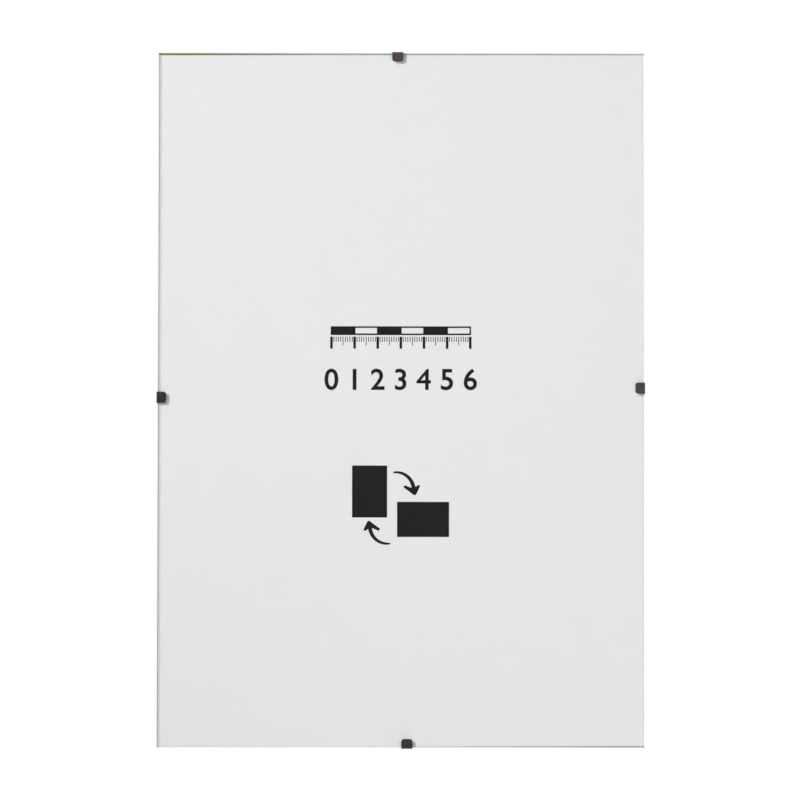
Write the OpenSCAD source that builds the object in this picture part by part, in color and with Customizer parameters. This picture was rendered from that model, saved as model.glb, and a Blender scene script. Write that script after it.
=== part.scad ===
// Clip frame for a 21 x 30 cm picture: a bare sheet of glass, the picture and a hardboard back,
// held together by four sprung steel clips, with two keyhole hangers riveted to the back.
// X runs to the right as seen from the front, Y from the glass to the wall, Z up.
// The origin is the centre of the upper hanger's entry hole, half way through its plate.

/* [Picture] */
// Width of the glass and of the back
picture_w = 210; // [120:1:400]
// Height of the glass and of the back
picture_h = 300; // [150:1:500]

/* [Glass, picture and back] */
// Thickness of the glass
glass_t = 2; // [1.8:0.1:3]
// Width of the ground bevel along each edge of the glass
glass_arris = 0.3; // [0.1:0.05:0.5]
// Thickness of the printed picture sheet
insert_t = 0.3; // [0.2:0.05:1]
// Film of air between the glass and the picture sheet
air_film = 0.1; // [0.05:0.05:0.3]
// How much narrower than the glass the picture sheet is cut
insert_less_w = 0.5; // [0.4:0.1:6]
// How much shorter than the glass the picture sheet is cut
insert_less_h = 0.8; // [0.7:0.1:6]
// How far the picture sheet lies to the right of the middle of the glass
insert_right = 0.15; // [0:0.05:0.15]
// How far the picture sheet lies below the middle of the glass
insert_down = 0.125; // [0:0.025:0.15]
// How much higher the ends of the picture sheet are cut at their right than at their left
insert_skew = 0.35; // [0:0.05:0.4]
// Thickness of the hardboard back
board_t = 3; // [2.8:0.1:5]
// Radius worn onto the corners of the back
board_corner_r = 0.8; // [0.3:0.1:4]

/* [Clips] */
// Thickness of the spring steel strip
strip_t = 0.4; // [0.4:0.05:0.7]
// Reach of the lip over the glass, from the edge of the glass
lip_reach = 3.7; // [3:0.1:5]
// Width of the lip and the web, along the edge
lip_w = 4.8; // [4:0.1:8]
// Corner radius of the lip
lip_corner_r = 1.2; // [0.5:0.1:1.8]
// Radius of the bead rolled along the tip of the lip
bead_r = 0.3; // [0.3:0.05:0.5]
// Play between a closed clip and the glass or the back
seat_gap = 0.1; // [0.05:0.05:0.3]
// Play between the web and the edge of the glass
web_gap = 0.1; // [0.1:0.05:0.4]
// Inside radius of the bend over the front of the glass
front_bend_r = 0.3; // [0.2:0.05:0.5]
// Inside radius of the bend behind the back
rear_bend_r = 0.5; // [0.3:0.1:1]
// Width of the sprung leg
leg_w = 9; // [7:0.5:14]
// Distance from the edge of the glass at which the leg begins to widen
shoulder_start = 3.8; // [2:0.2:5]
// Length over which the leg widens
shoulder_l = 4.4; // [3:0.2:6]
// Angle at which the leg leaves the web, rising from the back
leg_rise = 2; // [1:0.5:3]
// Angle at which the leg comes down on the back
leg_fall = 8; // [7:0.5:10]
// Radius to which the leg is bowed
bow_r = 70; // [65:1:85]
// Straight length of the leg, past the bow
leg_end_l = 4.2; // [4:0.1:5]
// Radius of the turn where the leg rests on the back
heel_r = 1.5; // [1:0.1:2.5]
// Angle of the finger lift
lift_angle = 24; // [15:1:40]
// Length of the finger lift
lift_l = 2.6; // [2:0.1:5]
// Corner radius of the finger lift
lift_corner_r = 2; // [1:0.1:3]

/* [Clip teeth] */
// Width of the tooth lanced from the leg
tooth_w = 4; // [3:0.1:4.6]
// Depth of the tooth below the rear face of the back
tooth_depth = 2; // [1.5:0.1:2.4]
// Lean of the tooth away from the edge of the frame
tooth_lean = 26; // [24:1:30]
// Inside radius of the bend at the root of the tooth
tooth_bend_r = 0.3; // [0.2:0.05:0.4]
// Width of the cut down each side of the tooth
lance_cut = 0.2; // [0.15:0.05:0.5]
// Length of leg from which the tooth was lanced
window_l = 3.2; // [3:0.1:3.6]

/* [Clip places] */
// Upper clip, to the right of the middle
top_clip_shift = -1.5; // [-6:0.1:6]
// Lower clip, to the right of the middle
bottom_clip_shift = 2.8; // [-6:0.1:6]
// Left clip, above the middle
left_clip_shift = 0.7; // [-6:0.1:6]
// Right clip, above the middle
right_clip_shift = 4.9; // [-6:0.1:6]

/* [Slots for the teeth] */
// Length of a slot, along the edge
slot_l = 18; // [17:0.5:24]
// Width of a slot
slot_w = 4.5; // [3.5:0.1:6]
// Play between the tooth and the outer wall of its slot
slot_play = 0.35; // [0.3:0.05:0.6]

/* [Hangers] */
// Distance from the edge of the glass to the centre of the entry hole
hanger_inset = 42; // [40:1:60]
// Thickness of the hanger plate
plate_t = 0.8; // [0.6:0.1:1.2]
// Length of the hanger plate
plate_l = 44; // [42:1:60]
// Height of the hanger plate
plate_h = 22; // [21:0.5:30]
// Corner radius of the hanger plate
plate_corner_r = 4; // [1:0.5:5]
// Room between the raised middle of the plate and the back
plate_rise = 1.2; // [0.8:0.1:2]
// Length of the raised middle
raised_l = 21; // [20:0.5:23]
// Slope of the two joggles beside it
joggle_angle = 40; // [30:1:50]
// Bend radius of the joggles, at the middle of the metal
joggle_r = 1; // [0.8:0.1:1.2]
// Radius of the entry hole for the head of the nail
entry_r = 4; // [3.5:0.1:4.5]
// Half width of the slot for the shank of the nail
nail_slot_r = 2; // [1.5:0.1:2.2]
// Travel of the nail along its slot
nail_travel = 8; // [6:0.5:9]
// Room around the head of the nail in the hardboard
nail_head_room = 1; // [0.5:0.1:1.3]

/* [Rivets] */
// Radius of the shank
shank_r = 1.5; // [1.2:0.1:1.8]
// Play around the shank
shank_play = 0.1; // [0.05:0.05:0.2]
// Radius of the domed head
head_r = 2.8; // [2.4:0.1:3.2]
// Height of the domed head
head_h = 0.9; // [0.6:0.1:1.2]
// Radius of the end rolled over inside the back
roll_r = 2.4; // [2.1:0.1:2.8]
// Height of the rolled end
roll_h = 0.6; // [0.4:0.1:0.8]
// Radius of the hollow in the shank
hollow_r = 0.9; // [0.5:0.1:1]
// Depth of the hollow, past the rolled end
hollow_l = 1.2; // [0.8:0.1:1.5]
// Play around the rolled end in its recess
recess_play = 0.3; // [0.2:0.1:0.6]
// Distance from the end of the hanger plate to the middle of its rivet
rivet_inset = 5; // [4:0.1:5.5]

/* [Hidden] */
$fn = 64;

// Depth of each face along Y
board_back = -plate_t / 2 - plate_rise;
board_front = board_back - board_t;
insert_front = board_front - insert_t;
glass_back = insert_front - air_film;
glass_front = glass_back - glass_t;
pack_t = board_back - glass_front;

// Middle of the picture, level with the upper hanger's origin
middle_z = hanger_inset - picture_h / 2;

// Longer than any cut has to be
through = 20;
// Most that one flat of a bend turns
bend_step = 10;

// Colours of the real pieces
glass_colour = [0.80, 0.86, 0.85, 0.45];
paper_colour = [0.93, 0.93, 0.94];
board_colour = [0.49, 0.36, 0.25];
clip_colour = [0.25, 0.22, 0.20];
zinc_colour = [0.72, 0.73, 0.75];

// A bent strip, walked along the middle of its metal. Each step is a straight length, a turn in
// degrees, to the left where positive, and the radius of that turn. A station is [x, y, heading].
function tail(list) = [for (i = [1:1:len(list) - 1]) list[i]];
function ahead(at, l) = [at[0] + l * cos(at[2]), at[1] + l * sin(at[2]), at[2]];
function bend(at, turn, r) =
    let (
        flats = ceil(abs(turn) / bend_step),
        side = sign(turn),
        cx = at[0] - side * r * sin(at[2]),
        cy = at[1] + side * r * cos(at[2])
    )
    [for (i = [0:flats])
        let (h = at[2] + turn * i / max(flats, 1))
        [cx + side * r * sin(h), cy - side * r * cos(h), h]];
function walk(at, steps) =
    len(steps) == 0 ? [at] :
    let (arc = bend(ahead(at, steps[0][0]), steps[0][1], steps[0][2]))
    concat([at], [for (i = [0:1:len(arc) - 2]) arc[i]], walk(arc[len(arc) - 1], tail(steps)));
function walk_end(at, steps) = let (path = walk(at, steps)) path[len(path) - 1];
function beside(path, d) = [for (p = path) [p[0] - d * sin(p[2]), p[1] + d * cos(p[2])]];
function reversed(list) = [for (i = [len(list) - 1:-1:0]) list[i]];
function strip_outline(path, t) = concat(beside(path, t / 2), reversed(beside(path, -t / 2)));

// The clip, seen along its edge: x is the distance inwards from the edge of the glass and y the
// depth behind the front of the glass. The lip's beaded tip is the line that the clip turns on.
tip_x = lip_reach - bead_r;
tip_y = -seat_gap - bead_r;
web_x = -web_gap - strip_t / 2;
front_r = front_bend_r + strip_t / 2;
rear_r = rear_bend_r + strip_t / 2;
heel_mid_r = heel_r + strip_t / 2;
// The web ends where the leg, led over its bow, rests its heel on the back
rear_bend_y = pack_t + seat_gap + strip_t / 2 - rear_r * cos(leg_rise)
    - bow_r * (cos(leg_fall) - cos(leg_rise)) + leg_end_l * sin(leg_fall)
    + heel_mid_r * (1 - cos(leg_fall));
lip_steps = [
    [tip_x - web_x - front_r, -90, front_r],
    [rear_bend_y - tip_y - front_r, leg_rise - 90, rear_r],
    [0, -leg_rise - leg_fall, bow_r],
];
heel_steps = [
    [leg_end_l, leg_fall + lift_angle, heel_mid_r],
    [lift_l, 0, 0],
];
lip_tip = [tip_x, tip_y, 180];
bow_end = walk_end(lip_tip, lip_steps);
leg_tip = walk_end(bow_end, heel_steps);
leg_reach = leg_tip[0] + strip_t / 2 * sin(lift_angle);

// The tooth is bent down from the outer end of its window
tooth_r = tooth_bend_r + strip_t / 2;
tooth_turn = [0, -(90 - tooth_lean - leg_fall), tooth_r];
tooth_neck = walk_end(bow_end, [tooth_turn]);
tooth_l = (tooth_neck[1] - strip_t / 2 * sin(tooth_lean) - pack_t + tooth_depth) / cos(tooth_lean);

// The slot's outer wall stands just outside the tooth's outer face, level with the board's back
tooth_face_x = tooth_neck[0] - strip_t / 2 * cos(tooth_lean)
    + (tooth_neck[1] - strip_t / 2 * sin(tooth_lean) - pack_t) * tan(tooth_lean);
slot_x = tooth_face_x - slot_play;

// The hanger plate, seen from above: x along the plate and y away from the hardboard
joggle_steps = let (flat_y = plate_rise - 2 * joggle_r * (1 - cos(joggle_angle)))
    [flat_y / sin(joggle_angle), joggle_angle, joggle_r];
joggle_run = 2 * joggle_r * sin(joggle_angle) + joggle_steps[0] * cos(joggle_angle);
foot_l = (plate_l - raised_l) / 2 - joggle_run;
plate_steps = [
    [foot_l, joggle_angle, joggle_r],
    [joggle_steps[0], -joggle_angle, joggle_r],
    [raised_l, -joggle_angle, joggle_r],
    [joggle_steps[0], joggle_angle, joggle_r],
    [foot_l, 0, 0],
];
// The plate reaches as far below the entry hole as above the end of the nail's slot
plate_mid_z = nail_travel / 2;
nail_room_r = entry_r + nail_head_room;
recess_r = roll_r + recess_play;
rivet_hole_r = shank_r + shank_play;

// The part of a square corner that lies outside a round one, its centre at the origin
module corner_waste(r) {
    linear_extrude(2 * through, center = true)
        difference() {
            square(r + 1);
            circle(r);
        }
}

// Waste at the four corners of a w by h rectangle in X and Z
module corner_wastes(w, h, r) {
    for (sx = [-1, 1], sz = [-1, 1])
        scale([sx, 1, sz])
            translate([w / 2 - r, 0, h / 2 - r])
                rotate([90, 0, 0])
                    corner_waste(r);
}

// A slot with round ends, from one centre to another above it, cut along Y
module upright_slot(r, travel) {
    rotate([90, 0, 0])
        cylinder(r = r, h = through, center = true);
    translate([0, 0, travel])
        rotate([90, 0, 0])
            cylinder(r = r, h = through, center = true);
    translate([-r, -through / 2, 0])
        cube([2 * r, through, travel]);
}

// Puts something drawn on the top edge on the edge that lies at this angle: X runs along the
// edge, Y back from the front of the glass, and Z out of the frame
module on_edge(angle, half) {
    translate([0, glass_front, middle_z])
        rotate([0, angle, 0])
            translate([0, 0, half])
                children();
}
module on_top() { on_edge(0, picture_h / 2) children(); }
module on_right() { on_edge(90, picture_w / 2) children(); }
module on_bottom() { on_edge(180, picture_h / 2) children(); }
module on_left() { on_edge(270, picture_w / 2) children(); }

// Turns an outline in distance inwards and depth into a strip of this width along the edge
module along_edge(w) {
    rotate([0, 90, 0])
        linear_extrude(w, center = true)
            children();
}

// Half the width of a clip at a share of its shoulder
function shoulder(s) = lip_w / 2 + (leg_w - lip_w) / 2 * (1 - cos(180 * s)) / 2;

module clip_plan() {
    side = [for (i = [0:8]) [shoulder(i / 8), -shoulder_start - shoulder_l * i / 8]];
    half = concat([[lip_w / 2, through]], side, [[leg_w / 2, -leg_reach - 1]]);
    polygon(concat(half, [for (p = reversed(half)) [-p[0], p[1]]]));
}

// One clip on the top edge, shifted along it
module clip(shift) {
    translate([shift, 0, 0])
        color(clip_colour) {
            difference() {
                intersection() {
                    union() {
                        along_edge(leg_w)
                            polygon(strip_outline(walk(lip_tip, concat(lip_steps, heel_steps)), strip_t));
                        translate([0, tip_y, -tip_x])
                            rotate([0, 90, 0])
                                cylinder(r = bead_r, h = lip_w, center = true);
                    }
                    rotate([90, 0, 0])
                        linear_extrude(2 * through, center = true)
                            clip_plan();
                }
                lip_corners();
                lift_corners();
                tooth_window();
            }
            tooth();
        }
}

module lip_corners() {
    for (side = [-1, 1])
        scale([side, 1, 1])
            translate([lip_w / 2 - lip_corner_r, -through, -lip_reach + lip_corner_r])
                rotate([90, 90, 0])
                    corner_waste(lip_corner_r);
}

module lift_corners() {
    for (side = [-1, 1])
        scale([side, 1, 1])
            translate([leg_w / 2 - lift_corner_r, 0, -leg_reach + lift_corner_r])
                rotate([90, 90, 0])
                    corner_waste(lift_corner_r);
}

module tooth_window() {
    w = tooth_w + 2 * lance_cut;
    translate([-w / 2, pack_t - tooth_depth, -bow_end[0] - window_l])
        cube([w, through, window_l]);
}

module tooth() {
    along_edge(tooth_w)
        polygon(strip_outline(walk(bow_end, [tooth_turn, [tooth_l, 0, 0]]), strip_t));
}

module glass_pane() {
    color(glass_colour)
        translate([0, (glass_front + glass_back) / 2, middle_z])
            intersection() {
                linear_extrude(picture_h, center = true)
                    bevelled(picture_w, glass_t);
                rotate([0, 90, 0])
                    linear_extrude(picture_w, center = true)
                        bevelled(picture_h, glass_t);
            }
}

// Cross-section of a sheet with its four long edges bevelled
module bevelled(w, t) {
    x = w / 2;
    y = t / 2;
    b = glass_arris;
    polygon([
        [x - b, -y], [x, -y + b], [x, y - b], [x - b, y],
        [-x + b, y], [-x, y - b], [-x, -y + b], [-x + b, -y],
    ]);
}

// The picture sheet, its two ends cut a little out of square
module insert_sheet() {
    x = (picture_w - insert_less_w) / 2;
    z = (picture_h - insert_less_h) / 2;
    lift = insert_skew / 2;
    color(paper_colour)
        translate([insert_right, board_front, middle_z - insert_down])
            rotate([90, 0, 0])
                linear_extrude(insert_t)
                    polygon([[-x, -z - lift], [x, -z + lift], [x, z + lift], [-x, z - lift]]);
}

module backing_board() {
    color(board_colour)
        difference() {
            board_blank();
            on_top() tooth_slot();
            on_right() tooth_slot();
            on_bottom() tooth_slot();
            on_left() tooth_slot();
            hanger_cuts();
            at_side_hanger() hanger_cuts();
        }
}

// The hardboard as cut, with its corners worn
module board_blank() {
    x = picture_w / 2;
    z = picture_h / 2;
    corners = [[-x, -z], [x, -z], [x, z], [-x, z]];
    translate([0, board_back, middle_z])
        rotate([90, 0, 0])
            difference() {
                linear_extrude(board_t)
                    polygon(corners);
                for (c = corners)
                    scale([sign(c.x), sign(c.y), 1])
                        translate([abs(c.x) - board_corner_r, abs(c.y) - board_corner_r, 0])
                            corner_waste(board_corner_r);
            }
}

module tooth_slot() {
    translate([-slot_l / 2, -through / 2, -slot_x - slot_w])
        cube([slot_l, through * 2, slot_w]);
}

// The two hangers share one layout: the first at the top, the second turned to the right side
module at_side_hanger() {
    translate([picture_w / 2 - hanger_inset, 0, middle_z])
        rotate([0, 90, 0])
            children();
}

module at_rivet(side) {
    translate([side * (plate_l / 2 - rivet_inset), board_back, plate_mid_z])
        rotate([-90, 0, 0])
            children();
}

// Room in the hardboard for the head of the nail and for the rivets
module hanger_cuts() {
    upright_slot(nail_room_r, nail_travel);
    for (side = [-1, 1])
        at_rivet(side) {
            cylinder(r = rivet_hole_r, h = through, center = true);
            translate([0, 0, -board_t - 1])
                cylinder(r = recess_r, h = 1 + roll_h + recess_play);
        }
}

module hanger_plate() {
    foot_mid = [-plate_l / 2, board_back + plate_t / 2, 0];
    color(zinc_colour)
        difference() {
            translate([0, 0, plate_mid_z - plate_h / 2])
                linear_extrude(plate_h)
                    polygon(strip_outline(walk(foot_mid, plate_steps), plate_t));
            translate([0, 0, plate_mid_z])
                corner_wastes(plate_l, plate_h, plate_corner_r);
            keyhole();
            for (side = [-1, 1])
                at_rivet(side)
                    cylinder(r = rivet_hole_r, h = through, center = true);
        }
}

module keyhole() {
    rotate([90, 0, 0])
        cylinder(r = entry_r, h = through, center = true);
    upright_slot(nail_slot_r, nail_travel);
}

// A semi-tubular rivet about Z, with the board's rear face at zero and its head on the plate
module rivet() {
    bottom = -board_t + recess_play;
    dome_r = (head_r * head_r + head_h * head_h) / (2 * head_h);
    color(zinc_colour)
        difference() {
            union() {
                translate([0, 0, bottom])
                    cylinder(r = shank_r, h = -bottom + plate_t + head_h / 2);
                translate([0, 0, bottom])
                    cylinder(r1 = roll_r - roll_h / 2, r2 = roll_r, h = roll_h);
                intersection() {
                    translate([0, 0, plate_t + head_h - dome_r])
                        sphere(r = dome_r);
                    translate([0, 0, plate_t])
                        cylinder(r = head_r, h = head_h + 1);
                }
            }
            translate([0, 0, bottom - 1])
                cylinder(r = hollow_r, h = 1 + roll_h + hollow_l);
            translate([0, 0, bottom - 0.01])
                cylinder(r1 = hollow_r + roll_h, r2 = hollow_r, h = roll_h);
        }
}

module top_clip() { on_top() clip(top_clip_shift); }
module bottom_clip() { on_bottom() clip(-bottom_clip_shift); }
module left_clip() { on_left() clip(left_clip_shift); }
module right_clip() { on_right() clip(-right_clip_shift); }
module top_hanger_plate() { hanger_plate(); }
module side_hanger_plate() { at_side_hanger() hanger_plate(); }
module top_hanger_rivet_left() { at_rivet(-1) rivet(); }
module top_hanger_rivet_right() { at_rivet(1) rivet(); }
module side_hanger_rivet_upper() { at_side_hanger() at_rivet(-1) rivet(); }
module side_hanger_rivet_lower() { at_side_hanger() at_rivet(1) rivet(); }

glass_pane();
insert_sheet();
backing_board();
top_clip();
bottom_clip();
left_clip();
right_clip();
top_hanger_plate();
side_hanger_plate();
top_hanger_rivet_left();
top_hanger_rivet_right();
side_hanger_rivet_upper();
side_hanger_rivet_lower();
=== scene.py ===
# %% [markdown]
# A clip frame, dressed for its picture
#
# The object is a frameless picture holder: a bare sheet of glass, a printed sheet behind it, a
# hardboard back, and four sprung steel clips that grip the stack at the middle of each edge.
# The construction comes in as a fixed frame of solids at their real size, in metres. This
# script adds what construction leaves out: light, camera, the finish of every surface, and the
# print on the sheet. Each step starts with a cell like this one, which says what the real thing
# is, how it could be made, and why it is made this way.

# %% Load the solids that everything else is fitted to
import math

import bmesh
import bpy
from mathutils import Matrix, Vector


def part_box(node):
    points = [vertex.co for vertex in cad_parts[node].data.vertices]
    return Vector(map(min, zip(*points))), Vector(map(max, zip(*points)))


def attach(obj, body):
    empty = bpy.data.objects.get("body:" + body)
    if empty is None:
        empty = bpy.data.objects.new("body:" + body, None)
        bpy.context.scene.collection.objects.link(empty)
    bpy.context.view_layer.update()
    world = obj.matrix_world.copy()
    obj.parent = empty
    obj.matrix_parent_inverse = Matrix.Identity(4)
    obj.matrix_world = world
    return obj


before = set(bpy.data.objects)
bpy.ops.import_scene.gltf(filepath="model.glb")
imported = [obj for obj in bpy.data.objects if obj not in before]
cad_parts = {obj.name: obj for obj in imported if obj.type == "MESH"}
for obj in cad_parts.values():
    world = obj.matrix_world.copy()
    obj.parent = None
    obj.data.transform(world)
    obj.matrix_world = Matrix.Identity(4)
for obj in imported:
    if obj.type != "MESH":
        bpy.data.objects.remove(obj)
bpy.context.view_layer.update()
print("solids:", ", ".join(sorted(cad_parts)))

# %% [markdown]
# Where things are
#
# The sheet of paper, the glass and the board are flat, so a few heights along Y say where
# everything lies. The front of the frame faces -Y. They are read from the solids, so the print
# and the camera follow if a size changes.

# %% Read the main places from the solids
MM = 0.001
glass_low, glass_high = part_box("glass_pane")
sheet_low, sheet_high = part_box("insert_sheet")
board_low, board_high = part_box("backing_board")
GLASS_FRONT = glass_low.y
PAPER_FRONT = sheet_low.y
BOARD_BACK = board_high.y
FRAME_CENTRE = Vector(((glass_low.x + glass_high.x) / 2, GLASS_FRONT, (glass_low.z + glass_high.z) / 2))
print("glass front, paper front and board back in mm:",
      [round(v / MM, 2) for v in (GLASS_FRONT, PAPER_FRONT, BOARD_BACK)])

# %% [markdown]
# The camera
#
# A product photograph of something flat is taken with a long lens from straight ahead, so the
# sides stay parallel. Here the frame is 3.2 pixels wider at its foot than at its head, which
# is a camera that looks up by a degree or two, and its edges lean by a pixel or so, which is a
# camera that was held a hair out of level. Both are angles about the centre of the glass, so
# they are written as angles.

# %% Place the camera
PICTURE_SIDE = 800
PIXELS_PER_METRE = 2316.2
CAMERA_DISTANCE = 1.6
LOOK_UP = math.radians(2.0)
ROLL = math.radians(0.075)
CENTRE_PIXEL = (400.8, 399.25)


def make_camera():
    """A long lens that shows the frame at the photograph's scale, place and slight tilt."""
    data = bpy.data.cameras.new("camera")
    data.sensor_width = 36.0
    data.lens = data.sensor_width * PIXELS_PER_METRE * CAMERA_DISTANCE / PICTURE_SIDE
    data.clip_start = 0.1
    data.clip_end = 50.0
    camera = bpy.data.objects.new("camera", data)
    bpy.context.scene.collection.objects.link(camera)
    right = (CENTRE_PIXEL[0] - PICTURE_SIDE / 2) / PIXELS_PER_METRE
    down = (CENTRE_PIXEL[1] - PICTURE_SIDE / 2) / PIXELS_PER_METRE
    aim = FRAME_CENTRE + Vector((-right, 0.0, down))
    back = Vector((0.0, -math.cos(LOOK_UP), -math.sin(LOOK_UP)))
    turn = (-back).to_track_quat("-Z", "Y").to_matrix()
    camera.matrix_world = Matrix.LocRotScale(
        aim + back * CAMERA_DISTANCE, turn @ Matrix.Rotation(ROLL, 3, "Z"), None)
    bpy.context.scene.camera = camera
    return camera


camera = make_camera()
bpy.context.scene.view_settings.view_transform = "Standard"
print("lens in mm:", round(camera.data.lens, 1), "camera at", [round(v, 3) for v in camera.location])

# %% [markdown]
# Node trees, written as sentences
#
# Every finish below is a tree of shader nodes. Adding a node, setting its values and linking its
# inputs takes three kinds of call in Blender. The helper here does them in one: an input that is
# given a socket is linked, and an input that is given a number or colour is set. Patterns read
# Object coordinates, which are metres, so they are scaled to millimetres once. A noise scale
# then reads as marks for each millimetre, and it stays at its real size on every piece.

# %% Helpers for shader trees
def add_node(tree, kind, inputs=None, **settings):
    """Adds a node. Settings are its attributes, and each input is linked to a socket or set."""
    node = tree.nodes.new(kind)
    for name, value in settings.items():
        setattr(node, name, value)
    for name, value in (inputs or {}).items():
        if isinstance(value, bpy.types.NodeSocket):
            tree.links.new(value, node.inputs[name])
        else:
            node.inputs[name].default_value = value
    return node


def calc(tree, operation, first, second=0.0):
    """One sum on two values, such as MULTIPLY or MAXIMUM."""
    return add_node(tree, "ShaderNodeMath", {0: first, 1: second}, operation=operation).outputs[0]


def between(tree, value, low, high, at_low=0.0, at_high=1.0):
    """Turns low..high of a value into at_low..at_high, smoothly, and holds it beyond."""
    return add_node(tree, "ShaderNodeMapRange", {
        "Value": value, "From Min": low, "From Max": high, "To Min": at_low, "To Max": at_high},
        interpolation_type="SMOOTHSTEP").outputs["Result"]


def mix_colours(tree, share, first, second):
    """The first colour where share is 0 and the second where it is 1."""
    node = add_node(tree, "ShaderNodeMix", {"Factor": share}, data_type="RGBA")
    inputs = [s for s in node.inputs if s.type == "RGBA"]
    for socket, colour in zip(inputs, (first, second)):
        if isinstance(colour, bpy.types.NodeSocket):
            tree.links.new(colour, socket)
        else:
            socket.default_value = (*colour, 1.0)
    return next(s for s in node.outputs if s.type == "RGBA")


def millimetres(tree, stretch=(1.0, 1.0, 1.0), turn=(0.0, 0.0, 0.0), shift=(0.0, 0.0, 0.0)):
    """Object coordinates in millimetres, shifted, turned and stretched for a pattern."""
    place = add_node(tree, "ShaderNodeTexCoord")
    scale = tuple(s / MM for s in stretch)
    return add_node(tree, "ShaderNodeMapping", {
        "Vector": place.outputs["Object"], "Scale": scale, "Rotation": turn, "Location": shift},
        vector_type="POINT").outputs[0]


def noise(tree, place, per_mm, detail=2.0, roughness=0.5, distortion=0.0):
    """Cloudy noise from 0 to 1 with so many marks for each millimetre."""
    return add_node(tree, "ShaderNodeTexNoise",
                    {"Vector": place, "Scale": per_mm, "Detail": detail, "Roughness": roughness,
                     "Distortion": distortion}).outputs["Fac"]


def threads(tree, place, per_mm, width, distortion=0.6):
    """Thin wandering lines, 1 on a line and 0 beside it: where a smooth noise crosses its middle."""
    cloud = noise(tree, place, per_mm, detail=1.0, distortion=distortion)
    off_middle = calc(tree, "ABSOLUTE", calc(tree, "SUBTRACT", cloud, 0.5))
    return between(tree, off_middle, width, 0.0)


def facing(tree, axis):
    """How far a surface faces along an axis of its own piece, from 0 to 1, on either side."""
    place = add_node(tree, "ShaderNodeTexCoord")
    split = add_node(tree, "ShaderNodeSeparateXYZ", {"Vector": place.outputs["Normal"]})
    return calc(tree, "ABSOLUTE", split.outputs[axis])


def is_looked_at(tree, path):
    """1 where the eye looks, straight, in a mirror or through glass, and 0 for other light."""
    seen = calc(tree, "MAXIMUM", path.outputs["Is Camera Ray"], path.outputs["Is Glossy Ray"])
    return calc(tree, "MAXIMUM", seen, path.outputs["Is Transmission Ray"])


def new_finish(name):
    """An empty material and its tree, with the output node ready."""
    material = bpy.data.materials.new(name)
    material.use_nodes = True
    tree = material.node_tree
    tree.nodes.clear()
    output = add_node(tree, "ShaderNodeOutputMaterial")
    return material, tree, output


def show(tree, output, shader):
    """Links a shader to the surface that the output shows."""
    tree.links.new(shader, output.inputs["Surface"])


def relief(tree, height, depth_mm, strength=1.0):
    """A bump of so many millimetres from a height between 0 and 1."""
    return add_node(tree, "ShaderNodeBump",
                    {"Height": height, "Distance": depth_mm * MM, "Strength": strength}).outputs[0]


def worn_edges(tree, radius_mm, low=0.05, high=0.35):
    """1 on sharp edges and 0 on flats: how far a rounded normal leans from the true one."""
    soft = add_node(tree, "ShaderNodeBevel", {"Radius": radius_mm * MM}, samples=6)
    true = add_node(tree, "ShaderNodeNewGeometry")
    alike = add_node(tree, "ShaderNodeVectorMath",
                     {0: soft.outputs[0], 1: true.outputs["Normal"]}, operation="DOT_PRODUCT")
    lean = calc(tree, "SUBTRACT", 1.0, alike.outputs["Value"])
    return between(tree, lean, low, high)


def paint(material, *nodes):
    """Gives solids of the frame their finish. Their meshes stay as they are."""
    for name in nodes:
        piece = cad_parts[name]
        if not piece.material_slots:
            piece.data.materials.append(material)
        for slot in piece.material_slots:
            slot.material = material
    print(material.name, "on", ", ".join(nodes))


# %% [markdown]
# Light
#
# A white product shot is lit by a soft box, a weaker fill, and the white room around them. The
# soft box stands up, left and in front of the frame: the lips of the clips throw a short grey
# shadow to the lower right, and its length beside the height of the lips gives the direction.
# The fill stands beside the camera, a little to the right, and lifts that side of the sheet. Its
# own shadows fall straight behind the lips, where nobody sees them. It is hidden from mirrors and
# from glass, which would show it as a white patch. The room is the world, which gives an even grey
# light to surfaces and a white background to the eye, to mirrors and through glass. A big soft
# box behind lights the back, for views from there.

# %% Light the frame
LIGHT_FROM = Vector((-0.52, -1.0, 0.36)).normalized()
KEY_DISTANCE = 2.2
KEY_SIDE = 0.44
KEY_POWER = 32.3
KEY_COLOUR = (0.98, 1.0, 1.02)
FILL_FROM = Vector((0.22, -1.0, -0.05)).normalized()
FILL_DISTANCE = 1.0
FILL_SIDE = 0.35
FILL_POWER = 2.5
ROOM_LIGHT = 0.14
ROOM_COLOUR = (1.06, 1.0, 0.93)
BACK_LIGHT_FROM = Vector((0.45, 1.0, 0.6)).normalized()
BACK_LIGHT_SIDE = 1.6
BACK_LIGHT_POWER = 27.0
BACK_LIGHT_COLOUR = (1.0, 1.0, 1.0)


def soft_box(name, direction, distance, side, power, colour):
    """A square lamp that points at the middle of the frame and isn't in the picture itself."""
    data = bpy.data.lights.new(name, "AREA")
    data.shape = "SQUARE"
    data.size = side
    data.energy = power
    data.color = colour
    lamp = bpy.data.objects.new(name, data)
    bpy.context.scene.collection.objects.link(lamp)
    lamp.visible_camera = False
    lamp.matrix_world = Matrix.LocRotScale(
        FRAME_CENTRE + direction * distance, (-direction).to_track_quat("-Z", "Y"), None)
    return lamp


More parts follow.
